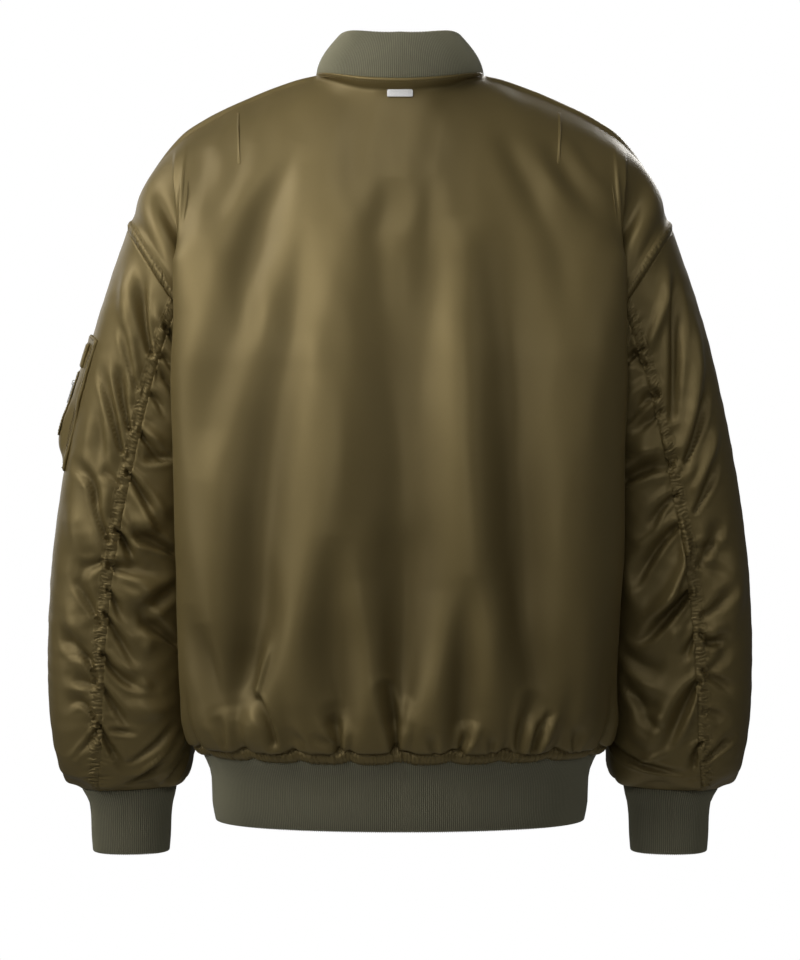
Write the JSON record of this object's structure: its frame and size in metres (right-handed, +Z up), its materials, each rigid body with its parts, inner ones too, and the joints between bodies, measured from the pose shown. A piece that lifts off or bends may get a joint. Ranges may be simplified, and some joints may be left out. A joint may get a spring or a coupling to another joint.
{
  "type": "bomber jacket",
  "caption": "Loose bomber jacket worn zipped up: olive satin nylon with dropped shoulders, rib collar, hem and cuffs, a sleeve pocket and a blank metal plate at the neck.",
  "frame": {"origin": "middle of the neck, level with the points where the collar meets the shoulder seams, where a wearer holds the jacket up", "axes": "+Z up, front towards -Y, the wearer's left towards +X"},
  "size_m": [0.7006, 0.3492, 0.8131],
  "materials": {
    "nylon": "satin woven nylon, olive, softly shining along the folds",
    "rib_knit": "matt ribbed knit, grey olive",
    "zip_tape": "matt woven tape",
    "zip_metal": "satin nickel",
    "plate": "polished, blank"
  },
  "bodies": {
    "jacket": {"back_panel": "nylon", "front_left": "nylon", "front_right": "nylon", "sleeve_left_outer": "nylon", "sleeve_left_under": "nylon", "sleeve_right_outer": "nylon", "sleeve_right_under": "nylon", "sleeve_pocket": "nylon", "pen_tab": "nylon", "collar": "rib_knit", "hem_band": "rib_knit", "cuff_left": "rib_knit", "cuff_right": "rib_knit", "zip_tape_left": "zip_tape", "zip_tape_right": "zip_tape", "pocket_zip_tape": "zip_tape", "zip_chain": "zip_metal", "zip_slider": "zip_metal", "pocket_zip_chain": "zip_metal", "pocket_zip_slider": "zip_metal", "neck_plate": "plate"},
    "zip_pull_tab": {"zip_pull": "zip_metal"},
    "pocket_pull_tab": {"pocket_zip_pull": "zip_metal"}
  },
  "joints": [
    {"name": "zip_pull_swing", "type": "hinge", "parent": "jacket", "child": "zip_pull_tab", "pos_m": [0, -0.09414, -0.08664], "axis": [-1, 0, 0], "range_deg": [0, 150]},
    {"name": "pocket_pull_swing", "type": "hinge", "parent": "jacket", "child": "pocket_pull_tab", "pos_m": [0.32366, 0.01127, -0.30353], "axis": [0.1285, -0.9893, 0.0695], "range_deg": [0, 150]}
  ]
}
